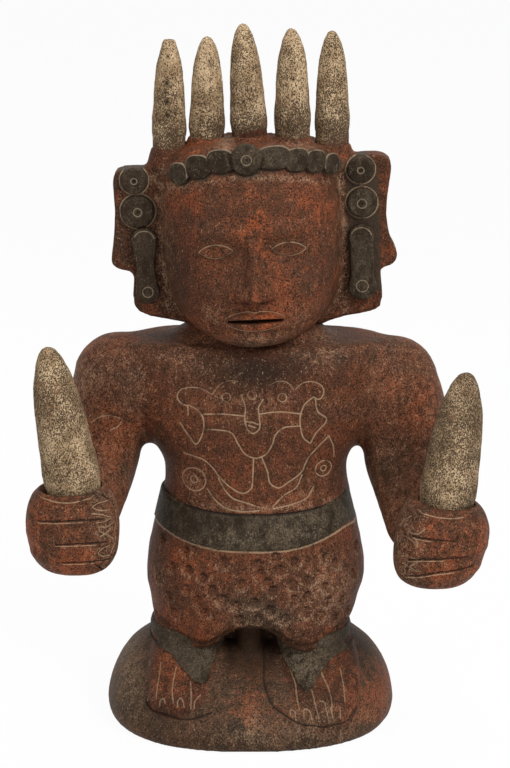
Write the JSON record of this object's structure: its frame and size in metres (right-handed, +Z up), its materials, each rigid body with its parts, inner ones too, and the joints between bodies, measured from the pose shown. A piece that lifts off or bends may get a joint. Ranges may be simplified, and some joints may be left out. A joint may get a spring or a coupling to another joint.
{
  "type": "standing clay warrior figure",
  "caption": "Hollow clay warrior standing on a domed plinth, with a spike in each fist, a crown of clay spikes, side flaps with ear discs, a belt, dimpled trunks and sandals.",
  "frame": {"origin": "on the plinth's flat underside, under the body's axis", "axes": "+Z up along the figure's height, the figure faces -Y, its right hand is on the -X side"},
  "size_m": [0.2585, 0.1585, 0.4008],
  "materials": {
    "red_slip": "red-brown burnished slip, mottled dark grey and tan",
    "dark_slip": "charcoal to olive-brown slip, dull sheen",
    "cream_clay": "coarse pale clay with dark grit, unburnished",
    "plinth_clay": "worn brown slip, dull"
  },
  "bodies": {
    "root": {"hip_shell": "red_slip", "torso_shell": "red_slip", "right_leg": "red_slip", "left_leg": "red_slip", "right_foot": "red_slip", "left_foot": "red_slip", "right_arm": "red_slip", "left_arm": "red_slip", "right_fist": "red_slip", "left_fist": "red_slip", "head_shell": "red_slip", "nose": "red_slip", "upper_lip": "red_slip", "lower_lip": "red_slip", "crown_crest": "red_slip", "right_flap": "red_slip", "left_flap": "red_slip", "belt": "dark_slip", "brow_disc": "dark_slip", "right_ear_disc_upper": "dark_slip", "right_ear_disc_lower": "dark_slip", "left_ear_disc_upper": "dark_slip", "left_ear_disc_lower": "dark_slip", "right_pendant": "dark_slip", "left_pendant": "dark_slip", "right_sandal_strap": "dark_slip", "left_sandal_strap": "dark_slip", "brow_bead_1": "dark_slip", "brow_bead_2": "dark_slip", "brow_bead_3": "dark_slip", "brow_bead_4": "dark_slip", "brow_bead_5": "dark_slip", "brow_bead_6": "dark_slip", "brow_bead_7": "dark_slip", "right_held_spike": "cream_clay", "left_held_spike": "cream_clay", "crown_spike_1": "cream_clay", "crown_spike_2": "cream_clay", "crown_spike_3": "cream_clay", "crown_spike_4": "cream_clay", "crown_spike_5": "cream_clay", "plinth": "plinth_clay", "centre_prop": "plinth_clay", "right_sandal_sole": "plinth_clay", "left_sandal_sole": "plinth_clay"}
  },
  "joints": []
}
